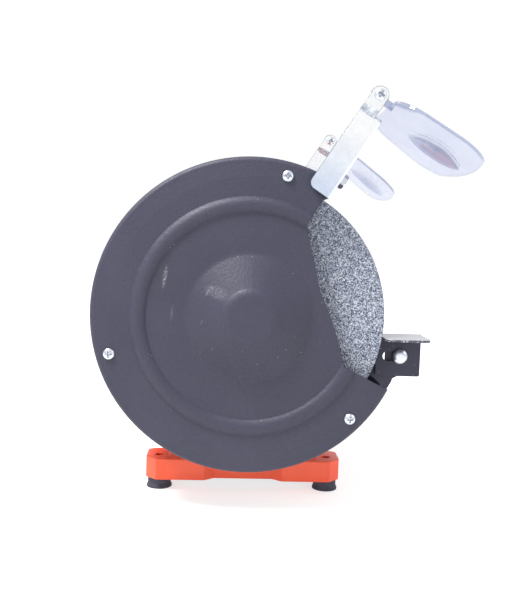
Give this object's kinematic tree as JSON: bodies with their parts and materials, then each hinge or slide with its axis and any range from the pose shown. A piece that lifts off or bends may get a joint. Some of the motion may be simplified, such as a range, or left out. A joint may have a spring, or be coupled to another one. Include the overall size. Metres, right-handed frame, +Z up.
{
  "type": "bench grinder",
  "caption": "Double-ended bench grinder: orange cast base with motor, guarded abrasive wheels, clear eye shields and sliding tool rests.",
  "frame": {"origin": "on the bench, at the centre of the four bench bolt holes", "axes": "+X along the spindle, +Z up, the operator stands on the -Y side"},
  "size_m": [0.3872, 0.2746, 0.3116],
  "materials": {
    "orange_paint": "semi-gloss orange-red enamel on cast metal",
    "grey_powder_coat": "dark grey fine-textured powder coat",
    "black_rubber": "matt black rubber",
    "zinc": "bright zinc plate",
    "zinc_sheet": "bright zinc-plated sheet steel",
    "bare_steel": "machined steel, lightly oiled",
    "lamination_steel": "dark laminated electrical steel",
    "copper_wire": "varnished copper wire, a copper colour",
    "abrasive": "coarse blue-grey vitrified abrasive",
    "blotter_card": "plain soft card",
    "clear_plastic": "clear polycarbonate with a faint bluish tint",
    "black_plastic": "black moulded plastic",
    "green_plastic": "glossy green rocker",
    "white_plastic": "off-white moulded plastic"
  },
  "bodies": {
    "machine": {"base": "orange_paint", "base_plate": "bare_steel", "base_plate_screws": "zinc", "rubber_feet": "black_rubber", "motor_housing": "orange_paint", "housing_screws": "zinc", "stator_core": "lamination_steel", "stator_windings": "copper_wire", "through_bolts": "zinc", "wave_washer": "bare_steel", "switch_body": "black_plastic", "terminal_block": "white_plastic", "capacitor": "white_plastic", "capacitor_clamp": "bare_steel", "cable_gland": "black_plastic", "end_bell_left": "orange_paint", "end_bell_right": "orange_paint", "bearing_outer_left": "bare_steel", "bearing_outer_right": "bare_steel", "guard_drum_left": "grey_powder_coat", "guard_drum_right": "grey_powder_coat", "drum_screws_left": "zinc", "drum_screws_right": "zinc", "guard_cover_left": "grey_powder_coat", "guard_cover_right": "grey_powder_coat", "cover_screws_left": "zinc", "cover_screws_right": "zinc", "arrestor_clamp_left": "zinc", "arrestor_clamp_right": "zinc", "rest_arm_left": "grey_powder_coat", "rest_arm_right": "grey_powder_coat", "arm_bolts_left": "zinc", "arm_bolts_right": "zinc", "rest_bolt_left": "zinc", "rest_bolt_right": "zinc"},
    "spindle_group": {"spindle": "bare_steel", "rotor": "lamination_steel", "bearing_inner_left": "bare_steel", "bearing_inner_right": "bare_steel", "grinding_wheel_left": "abrasive", "grinding_wheel_right": "abrasive", "wheel_bush_left": "white_plastic", "wheel_bush_right": "white_plastic", "wheel_blotters_left": "blotter_card", "wheel_blotters_right": "blotter_card", "inner_flange_left": "bare_steel", "inner_flange_right": "bare_steel", "outer_flange_left": "bare_steel", "outer_flange_right": "bare_steel", "spindle_nut_left": "zinc", "spindle_nut_right": "zinc"},
    "rocker": {"switch_rocker": "green_plastic"},
    "arrestor_left": {"spark_arrestor_left": "zinc_sheet", "shield_hinge_left": "zinc"},
    "shield_left": {"eye_shield_left": "clear_plastic"},
    "rest_left": {"tool_rest_left": "grey_powder_coat"},
    "arrestor_right": {"spark_arrestor_right": "zinc_sheet", "shield_hinge_right": "zinc"},
    "shield_right": {"eye_shield_right": "clear_plastic"},
    "rest_right": {"tool_rest_right": "grey_powder_coat"}
  },
  "joints": [
    {"name": "spindle_spin", "type": "hinge", "parent": "machine", "child": "spindle_group", "pos_m": [0, 0, 0.146], "axis": [1, 0, 0], "continuous": true},
    {"name": "power_rocker", "type": "hinge", "parent": "machine", "child": "rocker", "pos_m": [0, -0.057, 0.056], "axis": [1, 0, 0], "range_deg": [-20, 0]},
    {"name": "arrestor_slide_left", "type": "slide", "parent": "machine", "child": "arrestor_left", "axis": [0, -0.5417, 0.8406], "range_m": [0, 0.01]},
    {"name": "shield_tilt_left", "type": "hinge", "parent": "arrestor_left", "child": "shield_left", "pos_m": [-0.128, -0.0854, 0.3051], "axis": [1, 0, 0], "range_deg": [-95, 30]},
    {"name": "rest_slide_left", "type": "slide", "parent": "machine", "child": "rest_left", "axis": [0, -1, 0], "range_m": [0, 0.01]},
    {"name": "arrestor_slide_right", "type": "slide", "parent": "machine", "child": "arrestor_right", "axis": [0, -0.5417, 0.8406], "range_m": [0, 0.01]},
    {"name": "shield_tilt_right", "type": "hinge", "parent": "arrestor_right", "child": "shield_right", "pos_m": [0.128, -0.0854, 0.3051], "axis": [1, 0, 0], "range_deg": [-95, 30]},
    {"name": "rest_slide_right", "type": "slide", "parent": "machine", "child": "rest_right", "axis": [0, -1, 0], "range_m": [0, 0.01]}
  ]
}
